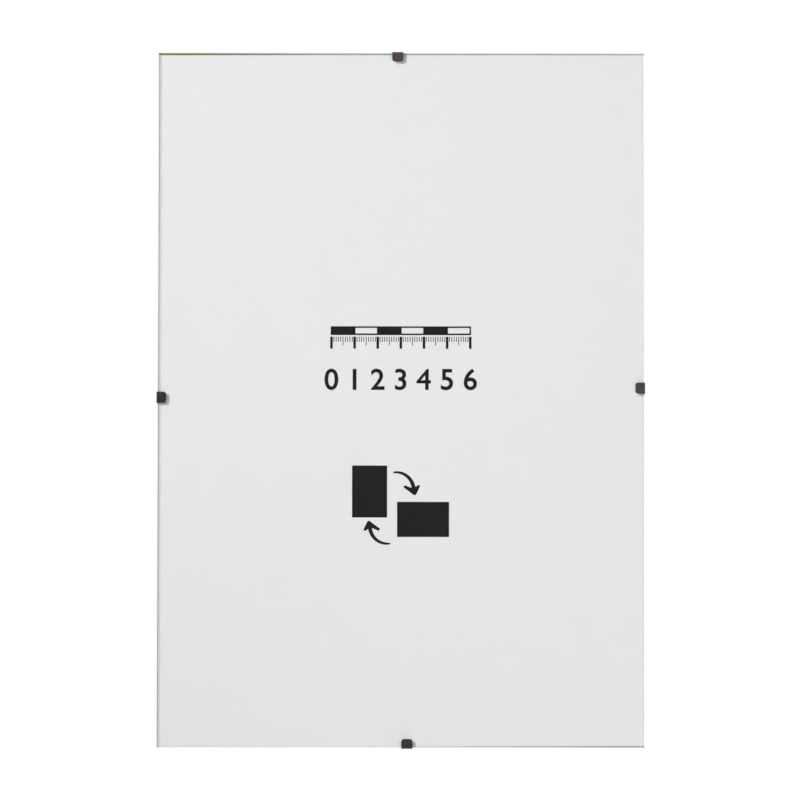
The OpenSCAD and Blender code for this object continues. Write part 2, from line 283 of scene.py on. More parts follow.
def white_room():
    """A world that lights surfaces evenly, and is white to the eye, in mirrors and through glass."""
    world = bpy.data.worlds.new("white_room")
    bpy.context.scene.world = world
    world.use_nodes = True
    tree = world.node_tree
    tree.nodes.clear()
    path = add_node(tree, "ShaderNodeLightPath")
    seen = is_looked_at(tree, path)
    first = calc(tree, "LESS_THAN", path.outputs["Diffuse Depth"], 0.5)
    light = add_node(tree, "ShaderNodeBackground", {
        "Color": (*ROOM_COLOUR, 1.0), "Strength": ROOM_LIGHT})
    white = add_node(tree, "ShaderNodeBackground", {"Color": (1, 1, 1, 1), "Strength": 1.0})
    mixed = add_node(tree, "ShaderNodeMixShader",
                     {0: calc(tree, "MULTIPLY", seen, first), 1: light.outputs[0], 2: white.outputs[0]})
    add_node(tree, "ShaderNodeOutputWorld", {"Surface": mixed.outputs[0]})


soft_box("key_light", LIGHT_FROM, KEY_DISTANCE, KEY_SIDE, KEY_POWER, KEY_COLOUR)
fill = soft_box("fill_light", FILL_FROM, FILL_DISTANCE, FILL_SIDE, FILL_POWER, ROOM_COLOUR)
fill.visible_glossy = False
fill.visible_transmission = False
soft_box("back_light", BACK_LIGHT_FROM, KEY_DISTANCE, BACK_LIGHT_SIDE, BACK_LIGHT_POWER,
         BACK_LIGHT_COLOUR)
white_room()

# %% [markdown]
# The stage
#
# The frame hangs on its mount, so the floor lies well below it, out of the camera's sight, and
# shows only in views from above. It is a pale disc. To the eye it is mostly white by itself and
# partly lit, so it keeps the object's shadow, and away from the object it fades into the white
# of the background.
#
# Glass mirrors whatever stands in front of it, and a white room would turn the black print grey.
# Photographers hang a black card behind the camera for that. The first card here does the same:
# only mirrors and glass can see it, so it takes no light away from the object, and it fades to
# white at its rim, so that no hard edge shows in the glass from other sides. The second card is
# what they call a flag. It stands beside the foot of the frame, at its left, where the sheet is
# dimmest, and takes some of the room's light away there. Only matt surfaces can see that one.

# %% Make the floor and the two cards
FLOOR_DROP = 0.45
FLOOR_RADIUS = 2.4
FLOOR_FADES = (0.9, 1.7)
FLOOR_WHITENESS = (0.6, 1.0)
CARD_PLACE = Vector((0.0, -2.4, 0.0))
CARD_RADIUS = 1.1
CARD_BLACK_SHARE = 0.54
FLAG_PLACE = Vector((-0.28, -0.14, -0.33))
FLAG_RADIUS = 0.23


def disc(name, centre, radius, sides=96):
    """A flat round sheet that faces up."""
    mesh = bpy.data.meshes.new(name)
    shape = bmesh.new()
    bmesh.ops.create_circle(shape, cap_ends=True, radius=radius, segments=sides,
                            matrix=Matrix.Translation(centre))
    shape.to_mesh(mesh)
    shape.free()
    piece = bpy.data.objects.new(name, mesh)
    bpy.context.scene.collection.objects.link(piece)
    return piece


def pale_floor_finish():
    """A pale matt floor that is white to the eye, apart from the shadow on it."""
    material, tree, output = new_finish("pale_floor")
    seen = is_looked_at(tree, add_node(tree, "ShaderNodeLightPath"))
    matt = add_node(tree, "ShaderNodeBsdfDiffuse", {"Color": (0.86, 0.86, 0.86, 1.0)})
    white = add_node(tree, "ShaderNodeEmission", {"Color": (1, 1, 1, 1), "Strength": 1.0})
    place = add_node(tree, "ShaderNodeTexCoord")
    away = add_node(tree, "ShaderNodeVectorMath", {0: place.outputs["Object"]}, operation="LENGTH")
    whiteness = between(tree, away.outputs["Value"], *FLOOR_FADES, *FLOOR_WHITENESS)
    mixed = add_node(tree, "ShaderNodeMixShader", {
        0: calc(tree, "MULTIPLY", seen, whiteness), 1: matt.outputs[0], 2: white.outputs[0]})
    show(tree, output, mixed.outputs[0])
    return material


def black_card(name, place, radius, for_mirrors):
    """A round black card that faces the frame, seen by mirrors and glass or else by matt surfaces."""
    card = disc(name, Vector((0, 0, 0)), radius)
    turn = (-place).to_track_quat("Z", "Y").to_matrix().to_4x4()
    card.data.transform(Matrix.Translation(FRAME_CENTRE + place) @ turn)
    material, tree, output = new_finish(name)
    middle = add_node(tree, "ShaderNodeVectorMath", {
        0: add_node(tree, "ShaderNodeTexCoord").outputs["Object"], 1: tuple(FRAME_CENTRE + place)},
        operation="DISTANCE")
    white = 0.0
    if for_mirrors:
        white = between(tree, middle.outputs["Value"], CARD_BLACK_SHARE * radius, radius)
    show(tree, output, add_node(tree, "ShaderNodeEmission", {"Strength": white}).outputs[0])
    card.data.materials.append(material)
    card.visible_camera = False
    card.visible_shadow = False
    card.visible_diffuse = not for_mirrors
    card.visible_glossy = for_mirrors
    card.visible_transmission = for_mirrors
    return card


floor_height = glass_low.z - FLOOR_DROP
floor = disc("floor", Vector((0.0, 0.0, floor_height)), FLOOR_RADIUS)
floor.data.materials.append(pale_floor_finish())
black_card("black_card", CARD_PLACE, CARD_RADIUS, True)
black_card("flag", FLAG_PLACE, FLAG_RADIUS, False)
print("floor at z", round(floor_height, 3), "m, flag", round(FLAG_PLACE.length, 2), "m away")

# %% [markdown]
# Float glass
#
# The pane is 2 mm float glass: clear on its faces, while its edge was cut, then ground, so that
# nobody is hurt by it. Edge on, such glass is green, because iron in it takes out some red. A
# solid pane with a glass shader shows all this, apart from one thing: a path tracer finds no
# light through refraction, so everything behind would be dark. The usual cure is used here. To
# rays that carry light the pane is transparent, and to the eye it is glass.
#
# The ground edge is a second shader, chosen by the direction that a surface faces: the two big
# faces look along Y, and the edge and its small bevels don't. The left and the upper edge let less
# lamp light through than the other two, which is painted shade: it dims a thin strip of the sheet
# beside them, where the light from the upper left crosses the edge.

# %% Make the glass
OPEN_EDGE = (0.93, 0.95, 0.94)
SHADING_EDGE = (0.60, 0.64, 0.62)
SHADING_ZONE = (0.5, 0.3)


def float_glass():
    """Clear faces and ground greenish edges, open to light, less so at the left and upper edge: painted
    shade.
    """
    material, tree, output = new_finish("float_glass")
    clear = add_node(tree, "ShaderNodeBsdfPrincipled", {
        "Base Color": (0.990, 0.997, 0.994, 1.0), "Roughness": 0.0, "IOR": 1.52,
        "Transmission Weight": 1.0})
    fine = noise(tree, millimetres(tree), 5.0, detail=3.0)
    across = facing(tree, "Y")
    edge = mix_colours(tree, fine, (0.50, 0.64, 0.58), (0.62, 0.74, 0.69))
    is_bevel = between(tree, across, 0.2, 0.6)
    ground = add_node(tree, "ShaderNodeBsdfPrincipled", {
        "Base Color": mix_colours(tree, is_bevel, edge, (0.97, 0.985, 0.98)),
        "Roughness": calc(tree, "SUBTRACT", between(tree, fine, 0.3, 0.7, 0.30, 0.50),
                          calc(tree, "MULTIPLY", is_bevel, 0.25)),
        "IOR": 1.52, "Transmission Weight": between(tree, across, 0.2, 0.6, 0.85, 1.0),
        "Normal": relief(tree, fine, 0.03, between(tree, across, 0.2, 0.6, 1.0, 0.15))})
    is_face = between(tree, across, 0.80, 0.95)
    pane = add_node(tree, "ShaderNodeMixShader", {
        0: is_face, 1: ground.outputs[0], 2: clear.outputs[0]})
    path = add_node(tree, "ShaderNodeLightPath")
    carries_light = calc(tree, "MAXIMUM", path.outputs["Is Shadow Ray"], path.outputs["Is Diffuse Ray"])
    split = add_node(tree, "ShaderNodeSeparateXYZ", {"Vector": millimetres(tree)})
    left, top = glass_low.x / MM, glass_high.z / MM
    at_left = between(tree, split.outputs["X"], *(left + zone for zone in SHADING_ZONE))
    at_top = between(tree, split.outputs["Z"], *(top - zone for zone in SHADING_ZONE))
    # Painted shade: lamp light through the left and upper edge is dimmed more, which shades the sheet
    # beside them.
    dimmed = mix_colours(tree, calc(tree, "MAXIMUM", at_left, at_top), OPEN_EDGE, SHADING_EDGE)
    open_to_light = add_node(tree, "ShaderNodeBsdfTransparent", {
        "Color": mix_colours(tree, is_face, dimmed, (0.980, 0.985, 0.983))})
    mixed = add_node(tree, "ShaderNodeMixShader",
                     {0: carries_light, 1: pane.outputs[0], 2: open_to_light.outputs[0]})
    show(tree, output, mixed.outputs[0])
    return material


paint(float_glass(), "glass_pane")

# %% [markdown]
# The printed sheet
#
# The sheet is plain smooth paper, a little cool in its white. Paper isn't one flat colour: it
# has faint clouds, where the pulp lay thicker, and short fibres. Both are drawn at their real
# size, and so faint that they show only up close.
#
# A hair of this sheet is browner along its upper end, most at the left, and a hair of it is greyer
# along its lower end, most at the right. The ends are cut a little out of square, and the marks
# follow them, so the distance from each end is taken along the slant that the corners of the solid
# give.

# %% Make the paper
END_BAND_DEPTH = (0.45, 0.15)
HEAD_TINT_FROM_LEFT = (85.0, 5.0)
HEAD_TINT = (0.78, 0.60, 0.42)
FOOT_TINT_FROM_RIGHT = (135.0, 17.0)
FOOT_TINT_SHARE = 0.75
FOOT_TINT = (0.40, 0.40, 0.39)


def distance_from_ends(tree, x, z):
    """Millimetres from a point up to the sheet's upper end, and down to its lower end."""
    corners = [v.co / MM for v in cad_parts["insert_sheet"].data.vertices]
    left, right = sheet_low.x / MM, sheet_high.x / MM
    left_side = [c.z for c in corners if c.x < left + 1.0]
    right_side = [c.z for c in corners if c.x > right - 1.0]
    slant = (min(right_side) - min(left_side)) / (right - left)
    rise = calc(tree, "MULTIPLY", calc(tree, "SUBTRACT", x, left), slant)
    height = calc(tree, "SUBTRACT", z, rise)
    below_head = calc(tree, "SUBTRACT", max(left_side), height)
    above_foot = calc(tree, "SUBTRACT", height, min(left_side))
    return below_head, above_foot


def smooth_paper():
    """White paper with faint clouds and fibres, browner along its upper end and greyer along its lower
    end.
    """
    material, tree, output = new_finish("smooth_paper")
    place = millimetres(tree)
    clouds = noise(tree, place, 0.12, detail=3.0)
    fibres = threads(tree, place, 1.6, 0.05)
    white = mix_colours(tree, clouds, (0.828, 0.826, 0.854), (0.848, 0.846, 0.874))
    colour = mix_colours(tree, calc(tree, "MULTIPLY", fibres, 0.25), white, (0.80, 0.805, 0.81))
    split = add_node(tree, "ShaderNodeSeparateXYZ", {"Vector": place})
    below_head, above_foot = distance_from_ends(tree, split.outputs["X"], split.outputs["Z"])
    from_left = calc(tree, "SUBTRACT", split.outputs["X"], sheet_low.x / MM)
    from_right = calc(tree, "SUBTRACT", sheet_high.x / MM, split.outputs["X"])
    # A browner band along the upper end, most at the left, and a greyer band along the lower end, most
    # at the right.
    head_tint = calc(tree, "MULTIPLY", between(tree, below_head, *END_BAND_DEPTH),
                    between(tree, from_left, *HEAD_TINT_FROM_LEFT))
    foot_tint = calc(tree, "MULTIPLY", between(tree, above_foot, *END_BAND_DEPTH),
                  between(tree, from_right, *FOOT_TINT_FROM_RIGHT))
    colour = mix_colours(tree, head_tint, colour, HEAD_TINT)
    colour = mix_colours(tree, calc(tree, "MULTIPLY", foot_tint, FOOT_TINT_SHARE), colour, FOOT_TINT)
    grain = noise(tree, place, 7.0, detail=2.0)
    paper = add_node(tree, "ShaderNodeBsdfPrincipled", {
        "Base Color": colour, "Roughness": between(tree, clouds, 0.3, 0.7, 0.78, 0.86),
        "Specular IOR Level": 0.3, "Normal": relief(tree, grain, 0.012)})
    show(tree, output, paper.outputs[0])
    return material


paint(smooth_paper(), "insert_sheet")

# %% [markdown]
# Hardboard
#
# Hardboard is wood fibre pressed wet on a wire screen. The screen leaves its weave on the back, a
# pitch of about one and a half millimetres, and the colour is a brown of many fibres, light and
# dark. The front is smooth. The edge is sawn: it is furry, and layered along the sheet.
#
# The weave could be modelled, but at a tenth of a millimetre it is a texture, so it is relief in
# the shader, and its grooves are darkened in colour as painted shade. It is the product of two
# waves, which gives a small pillow between every four wires.
# A fibre is a thin wandering line: the line where a smooth noise crosses its middle value. The
# front was sealed with a pale coat, which thins out to bare brown at the left and at the foot. That
# bare brown is partly painted shade, for the strip of the front that shows above the glass.

# %% Make the hardboard
WIRE_PITCH = 1.55
SEALED_DEPTH = (0.6, 0.4)
SEALED_FROM_LEFT = (10.0, 95.0)
SEALED_FROM_FOOT = (28.0, 108.0)
BARE_FRONT_AND_SHADE = (0.210, 0.130, 0.080)
SEALED_FRONT = (0.60, 0.58, 0.56)


def pressed_screen(tree, place):
    """The weave of the wire screen as a height from 0 to 1: a pillow in every gap of the mesh."""
    split = add_node(tree, "ShaderNodeSeparateXYZ", {"Vector": place})
    waves = []
    for axis in ("X", "Z"):
        turns = calc(tree, "MULTIPLY", split.outputs[axis], math.pi / WIRE_PITCH)
        wave = calc(tree, "SINE", turns)
        waves.append(calc(tree, "MULTIPLY", wave, wave))
    return calc(tree, "POWER", calc(tree, "MULTIPLY", *waves), 0.6)


def hardboard():
    """Brown pressed fibre: screened on the back, smooth in front, furry and layered at the edge."""
    material, tree, output = new_finish("pressed_hardboard")
    place = millimetres(tree)
    clouds = noise(tree, place, 0.045, detail=4.0)
    base = mix_colours(tree, clouds, (0.215, 0.128, 0.070), (0.300, 0.190, 0.110))
    speckle = noise(tree, place, 1.9, detail=4.0, roughness=0.7)
    base = mix_colours(tree, between(tree, speckle, 0.35, 0.75), base, (0.385, 0.262, 0.162))
    long_fibres = threads(tree, millimetres(tree, turn=(0.0, 0.5, 0.0)), 0.42, 0.020, 1.4)
    short_fibres = threads(tree, millimetres(tree, shift=(40.0, 0.0, 17.0)), 1.1, 0.035, 0.9)
    dark_fibres = threads(tree, millimetres(tree, shift=(7.0, 0.0, 90.0)), 0.8, 0.022, 1.1)
    pale = calc(tree, "MULTIPLY", calc(tree, "MAXIMUM", long_fibres, short_fibres), 0.55)
    colour = mix_colours(tree, pale, base, (0.50, 0.365, 0.235))
    colour = mix_colours(tree, calc(tree, "MULTIPLY", dark_fibres, 0.6), colour, (0.105, 0.058, 0.030))
    across = facing(tree, "Y")
    is_face = between(tree, across, 0.5, 0.9)
    layers = noise(tree, millimetres(tree, stretch=(0.5, 5.0, 0.5)), 1.0, detail=3.0, roughness=0.65)
    sawn = mix_colours(tree, layers, (0.150, 0.085, 0.045), (0.400, 0.275, 0.170))
    colour = mix_colours(tree, is_face, sawn, colour)
    split = add_node(tree, "ShaderNodeSeparateXYZ", {"Vector": place})
    left, front_side, foot = (v / MM for v in board_low)
    is_front = calc(tree, "MULTIPLY", is_face,
                    between(tree, split.outputs["Y"], *(front_side + edge for edge in SEALED_DEPTH)))
    sealed = calc(tree, "MULTIPLY",
                  between(tree, split.outputs["X"], *(left + edge for edge in SEALED_FROM_LEFT)),
                  between(tree, split.outputs["Z"], *(foot + edge for edge in SEALED_FROM_FOOT)))
    # The bare brown is partly painted shade, for the strip of the front that shows above the glass.
    front = mix_colours(tree, sealed, BARE_FRONT_AND_SHADE, SEALED_FRONT)
    colour = mix_colours(tree, calc(tree, "MULTIPLY", is_front, 0.85), colour, front)
    is_back = calc(tree, "MULTIPLY", is_face,
                   between(tree, split.outputs["Y"], BOARD_BACK / MM - 0.3, BOARD_BACK / MM - 0.1))
    weave = pressed_screen(tree, place)
    # Painted shade: the grooves of the weave on the back are darkened in colour.
    groove_shade = calc(tree, "MULTIPLY", calc(tree, "SUBTRACT", 1.0, weave), is_back)
    colour = mix_colours(tree, calc(tree, "MULTIPLY", groove_shade, 0.45), colour, (0.120, 0.066, 0.035))
    fibres_up = calc(tree, "MULTIPLY", calc(tree, "ADD", long_fibres, short_fibres), 0.25)
    height = calc(tree, "ADD", calc(tree, "MULTIPLY", weave, is_back), fibres_up)
    height = calc(tree, "ADD", height, calc(tree, "MULTIPLY", speckle, 0.5))
    board = add_node(tree, "ShaderNodeBsdfPrincipled", {
        "Base Color": colour, "Roughness": between(tree, speckle, 0.3, 0.7, 0.62, 0.80),
        "Specular IOR Level": 0.35, "Normal": relief(tree, height, 0.10)})
    show(tree, output, board.outputs[0])
    return material


paint(hardboard(), "backing_board")

# %% [markdown]
# Blackened spring steel
#
# A clip is spring steel, hardened and then blackened in hot oil. The black is a thin oxide, brown
# where it is thin and blue black where it is thick. It rubs off along the cut edges, and handling
# leaves fine scratches. The oxide is dark and only half like metal, so the shader is a mix: mostly
# a dark satin surface, with bare steel where a Bevel node finds an edge. The clips at the left and
# at the foot are darker than the other two: the colour darkens along a line that runs to the lower
# left.

# %% Make the steel of the clips
UPWARD_SHARE = 0.3
DARKENS = (0.0, -135.0)
DARKEST_SHARE = 0.9


def blackened_steel():
    """Brown black oxide on spring steel, darker along its edges and on the clips at the lower left."""
    material, tree, output = new_finish("blackened_steel")
    place = millimetres(tree)
    clouds = noise(tree, place, 0.35, detail=4.0, roughness=0.6)
    oxide = mix_colours(tree, between(tree, clouds, 0.3, 0.7),
                        (0.060, 0.042, 0.034), (0.048, 0.036, 0.030))
    split = add_node(tree, "ShaderNodeSeparateXYZ", {"Vector": place})
    # The colour darkens towards the lower left, so the clips at the left and at the foot are darker.
    along = calc(tree, "ADD", split.outputs["X"],
                 calc(tree, "MULTIPLY", split.outputs["Z"], UPWARD_SHARE))
    oxide = mix_colours(tree, between(tree, along, *DARKENS, 0.0, DARKEST_SHARE), oxide,
                        (0.009, 0.007, 0.005))
    oxide = mix_colours(tree, calc(tree, "MULTIPLY", worn_edges(tree, 0.8, 0.01, 0.20), 0.75), oxide,
                        (0.016, 0.014, 0.011))
    drawn_out = millimetres(tree, stretch=(1.0, 1.0, 0.12), turn=(0.3, 0.2, 0.0))
    scratches = calc(tree, "MULTIPLY", threads(tree, drawn_out, 1.4, 0.012, 0.2), 0.2)
    patches = between(tree, noise(tree, place, 1.3), 0.45, 0.65)
    rubbed = calc(tree, "MULTIPLY", worn_edges(tree, 0.12), patches)
    bare = calc(tree, "MAXIMUM", calc(tree, "MULTIPLY", rubbed, 0.25), scratches)
    colour = mix_colours(tree, bare, oxide, (0.36, 0.33, 0.30))
    grain = noise(tree, place, 9.0, detail=3.0)
    steel = add_node(tree, "ShaderNodeBsdfPrincipled", {
        "Base Color": colour, "Metallic": calc(tree, "ADD", 0.10, calc(tree, "MULTIPLY", bare, 0.8)),
        "Roughness": between(tree, clouds, 0.3, 0.7, 0.38, 0.52), "Specular IOR Level": 0.22,
        "Normal": relief(tree, grain, 0.006)})
    show(tree, output, steel.outputs[0])
    return material


paint(blackened_steel(), "top_clip", "bottom_clip", "left_clip", "right_clip")

# %% [markdown]
# Plated steel
#
# The keyhole hangers are stamped from zinc plated strip: bright, a little blue, with fine rolling
# lines along the strip and dull clouds from handling. The rivets come from another bath, and are a
# little warmer and smoother. Both are plain metals, and what tells them apart is their tint and
# how their roughness varies, so one function makes both from a few values.

# %% Make the plated metals
def plated_metal(name, light, dull, smooth, rough, lines):
    """A plated metal with dull clouds, rolling lines along X and brighter edges."""
    material, tree, output = new_finish(name)
    place = millimetres(tree)
    clouds = noise(tree, place, 0.22, detail=5.0, roughness=0.6)
    rolled = noise(tree, millimetres(tree, stretch=(0.05, 1.0, 1.0)), 6.0, detail=3.0)
    colour = mix_colours(tree, between(tree, clouds, 0.35, 0.65), light, dull)
    polished = worn_edges(tree, 0.15)
    colour = mix_colours(tree, calc(tree, "MULTIPLY", polished, 0.5), colour, (0.80, 0.80, 0.79))
    uneven = calc(tree, "ADD", calc(tree, "MULTIPLY", clouds, 0.7), calc(tree, "MULTIPLY", rolled, 0.3))
    metal = add_node(tree, "ShaderNodeBsdfPrincipled", {
        "Base Color": colour, "Metallic": 1.0,
        "Roughness": between(tree, uneven, 0.3, 0.7, smooth, rough),
        "Normal": relief(tree, rolled, lines)})
    show(tree, output, metal.outputs[0])
    return material


strip = plated_metal("strip_plating", (0.50, 0.52, 0.54), (0.37, 0.38, 0.39), 0.28, 0.44, 0.006)
rivets = plated_metal("rivet_plating", (0.58, 0.55, 0.50), (0.46, 0.43, 0.39), 0.22, 0.34, 0.002)
paint(strip, "top_hanger_plate", "side_hanger_plate")
paint(rivets, "top_hanger_rivet_left", "top_hanger_rivet_right",
      "side_hanger_rivet_upper", "side_hanger_rivet_lower")

# %% [markdown]
# The print
#
# The sheet carries plain dark print: a centimetre scale with its numbers, and a small figure
# that says that the frame hangs upright or sideways. Ink is a film, so each mark is a thin closed
# plate that lies on the paper. The scale and the figure are drawn flat, as outlines, and one tree
# of Geometry Nodes turns outlines into plates: it fills them, gives them their thickness and
# closes them. The numbers are text objects given the same film.

# %% Make the ink
INK_FILM = 0.04 * MM
INK_SUNK = 0.01 * MM


def printing_ink():
    """Near black ink, a little uneven where the paper shows through."""
    material, tree, output = new_finish("printing_ink")
    place = millimetres(tree)
    cover = between(tree, noise(tree, place, 3.5, detail=3.0), 0.35, 0.65)
    ink = add_node(tree, "ShaderNodeBsdfPrincipled", {
        "Base Color": mix_colours(tree, cover, (0.0150, 0.0132, 0.0132), (0.0200, 0.0178, 0.0176)),
        "Roughness": between(tree, cover, 0.0, 1.0, 0.55, 0.70), "Specular IOR Level": 0.04})
    show(tree, output, ink.outputs[0])
    return material


ink = printing_ink()
print("ink film in mm:", INK_FILM / MM)

# %% [markdown]
# From outline to ink
#
# The tree takes flat outlines as edges, turns them into curves and fills them. Fill Curve leaves
# a hole where one outline lies inside another, so a hollow box is two outlines. Extrude lifts
# the filled faces off and leaves the back open, so a turned copy of the flat faces closes it, and
# Merge by Distance sews the two together.

# %% Build the tree that turns outlines into ink
def new_tree(name, inputs):
    """An empty Geometry Nodes tree with named inputs and one geometry output."""
    tree = bpy.data.node_groups.new(name, "GeometryNodeTree")
    tree.interface.new_socket("Geometry", in_out="OUTPUT", socket_type="NodeSocketGeometry")
    for title, kind in inputs:
        tree.interface.new_socket(title, in_out="INPUT", socket_type="NodeSocket" + kind)
    given = tree.nodes.new("NodeGroupInput").outputs
    return tree, given, tree.nodes.new("NodeGroupOutput")


def join(tree, *parts):
    """All parts as one geometry."""
    node = tree.nodes.new("GeometryNodeJoinGeometry")
    for part in parts:
        tree.links.new(part, node.inputs[0])
    return node.outputs[0]


def ink_film_tree():
    """Outlines in the XY plane become closed plates of ink, stood up to face the reader."""
    tree, given, out = new_tree("ink_film", [
        ("Outlines", "Geometry"), ("Film", "Float"), ("Place", "Vector"), ("Ink", "Material")])
    flat = add_node(tree, "GeometryNodeFillCurve", {"Curve": given["Outlines"]}, mode="NGONS")
    lifted = add_node(tree, "GeometryNodeExtrudeMesh", {
        "Mesh": flat.outputs[0], "Offset Scale": given["Film"], "Individual": False}, mode="FACES")
    back = add_node(tree, "GeometryNodeFlipFaces", {"Mesh": flat.outputs[0]})
    plate = add_node(tree, "GeometryNodeMergeByDistance", {
        "Geometry": join(tree, lifted.outputs["Mesh"], back.outputs[0]), "Distance": 0.001 * MM})
    upright = add_node(tree, "GeometryNodeTransform", {
        "Geometry": plate.outputs[0], "Translation": given["Place"],
        "Rotation": (math.pi / 2, 0.0, 0.0)})
    real = add_node(tree, "GeometryNodeRealizeInstances", {"Geometry": upright.outputs[0]})
    inked = add_node(tree, "GeometryNodeSetMaterial", {
        "Geometry": real.outputs[0], "Material": given["Ink"]})
    tree.links.new(inked.outputs[0], out.inputs[0])
    return tree


INK_FILM_TREE = ink_film_tree()


def film(tree, outlines, given):
    """The ink film tree as one node inside another tree, with the same inputs."""
    node = add_node(tree, "GeometryNodeGroup", node_tree=INK_FILM_TREE)
    tree.links.new(outlines, node.inputs["Outlines"])
    for name in ("Film", "Place", "Ink"):
        tree.links.new(given[name], node.inputs[name])
    return node.outputs[0]


def made_by(tree, name, values, mesh=None):
    """A plain piece from what a tree makes of a mesh, with its inputs set by their identifiers."""
    source = bpy.data.objects.new(name + "_source", mesh or bpy.data.meshes.new(name + "_source"))
    bpy.context.scene.collection.objects.link(source)
    modifier = source.modifiers.new(tree.name, "NODES")
    modifier.node_group = tree
    for item in tree.interface.items_tree:
        if item.item_type == "SOCKET" and item.in_out == "INPUT" and item.name in values:
            modifier[item.identifier] = values[item.name]
    graph = bpy.context.evaluated_depsgraph_get()
    made = bpy.data.meshes.new_from_object(source.evaluated_get(graph), depsgraph=graph)
    made.name = name
    bpy.data.objects.remove(source)
    piece = bpy.data.objects.new(name, made)
    bpy.context.scene.collection.objects.link(piece)
    return piece


def on_sheet(x_mm, z_mm):
    """A place on the front of the sheet, measured from the middle of the frame."""
    return Vector((FRAME_CENTRE.x + x_mm * MM, PAPER_FRONT + INK_SUNK, FRAME_CENTRE.z + z_mm * MM))


def print_on_sheet(piece):
    """Fixes a printed piece to the frame and says how big it is."""
    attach(piece, "frame")
    size = [round(v / MM, 1) for v in piece.dimensions]
    print(piece.name, "is", size, "mm, with", len(piece.data.polygons), "faces")
    return piece


# %% [markdown]
# The scale
#
# The scale is a bar of solid and hollow centimetres, with a tick for every millimetre below it.
# Both are rules, not drawings. The tree lays points along a line and puts an outline on each. The
# bar is one long box with a window in every second centimetre, and a tick's length follows from
# its number: every tenth is long and every fifth is longer than the rest.

# %% Print the scale
CENTIMETRE = 10.0
SCALE_PLACE = (-30.0, 29.7)
SCALE_VALUES = {
    "Centimetres": 6, "Centimetre": CENTIMETRE * MM, "Bar height": 3.8 * MM, "Rule": 0.7 * MM,
    "Clearance": 0.7 * MM, "Long tick": 5.2 * MM, "Middle tick": 3.8 * MM, "Short tick": 2.2 * MM,
    "Thick tick": 1.1 * MM, "Thin tick": 0.35 * MM}


def scale_tree():
    """A centimetre scale of outlines, filled as ink."""
    tree, given, out = new_tree("centimetre_scale", [("Centimetres", "Int")] + [
        (name, "Float") for name in SCALE_VALUES if name != "Centimetres"] + [
        ("Film", "Float"), ("Place", "Vector"), ("Ink", "Material")])
    number = tree.nodes.new("GeometryNodeInputIndex").outputs[0]

    def along_x(value):
        return add_node(tree, "ShaderNodeCombineXYZ", {"X": value}).outputs[0]

    def count(operation, first, second):
        return add_node(tree, "FunctionNodeIntegerMath", {0: first, 1: second},
                        operation=operation).outputs[0]

    def every(step):
        rest = count("MODULO", number, step)
        return add_node(tree, "FunctionNodeCompare", {2: rest, 3: 0},
                        data_type="INT", operation="EQUAL").outputs[0]

    def either(chosen, when_not, when_so):
        return add_node(tree, "GeometryNodeSwitch", {0: chosen, 1: when_not, 2: when_so},
                        input_type="FLOAT").outputs[0]

    def box(width, height):
        return add_node(tree, "GeometryNodeCurvePrimitiveQuadrilateral",
                        {"Width": width, "Height": height}).outputs[0]

    def row(points, step, start=None):
        return add_node(tree, "GeometryNodeMeshLine", {
            "Count": points, "Offset": along_x(step),
            "Start Location": along_x(start if start is not None else 0.0)}).outputs[0]

    centimetre = given["Centimetre"]
    length_of_bar = calc(tree, "MULTIPLY", given["Centimetres"], centimetre)
    two_rules = calc(tree, "MULTIPLY", given["Rule"], 2.0)
    bar = add_node(tree, "GeometryNodeTransform", {
        "Geometry": box(calc(tree, "ADD", length_of_bar, given["Rule"]), given["Bar height"]),
        "Translation": along_x(calc(tree, "MULTIPLY", length_of_bar, 0.5))})
    windows = add_node(tree, "GeometryNodeInstanceOnPoints", {
        "Points": row(given["Centimetres"], centimetre, calc(tree, "MULTIPLY", centimetre, 0.5)),
        "Selection": calc(tree, "SUBTRACT", 1.0, every(2)),
        "Instance": box(calc(tree, "SUBTRACT", centimetre, given["Rule"]),
                        calc(tree, "SUBTRACT", given["Bar height"], two_rules))})
    ticks = count("ADD", count("MULTIPLY", given["Centimetres"], 10), 1)
    length = either(every(5), given["Short tick"], given["Middle tick"])
    length = either(every(10), length, given["Long tick"])
    width = either(every(10), given["Thin tick"], given["Thick tick"])
    hanging = add_node(tree, "GeometryNodeTransform", {
        "Geometry": box(1.0, 1.0), "Translation": (0.0, -0.5, 0.0)})
    tick_row = add_node(tree, "GeometryNodeInstanceOnPoints", {
        "Points": row(ticks, calc(tree, "MULTIPLY", centimetre, 0.1)),
        "Instance": hanging.outputs[0],
        "Scale": add_node(tree, "ShaderNodeCombineXYZ", {
            "X": width, "Y": length, "Z": 1.0}).outputs[0]})
    drop = calc(tree, "ADD", calc(tree, "MULTIPLY", given["Bar height"], 0.5), given["Clearance"])
    lowered = add_node(tree, "GeometryNodeTransform", {
        "Geometry": tick_row.outputs[0],
        "Translation": add_node(tree, "ShaderNodeCombineXYZ", {
            "Y": calc(tree, "MULTIPLY", drop, -1.0)}).outputs[0]})
    outlines = add_node(tree, "GeometryNodeRealizeInstances", {
        "Geometry": join(tree, bar.outputs[0], windows.outputs[0], lowered.outputs[0])})
    tree.links.new(film(tree, outlines.outputs[0], given), out.inputs[0])
    return tree


print_on_sheet(made_by(scale_tree(), "print_scale", {
    **SCALE_VALUES, "Film": INK_FILM, "Place": on_sheet(*SCALE_PLACE), "Ink": ink}))

# %% [markdown]
# The numbers
#
# Plain numbers, one under each long tick, in strokes of about 1.5 mm. Text objects have what
# lettering needs: they fill, they thicken with Extrude and they grow bolder with Offset. Only the 4
# is drawn from two listed outlines, because Offset would close its small window. Each is turned
# into a mesh first and put in its place after, because a mesh keeps its place in its own points.

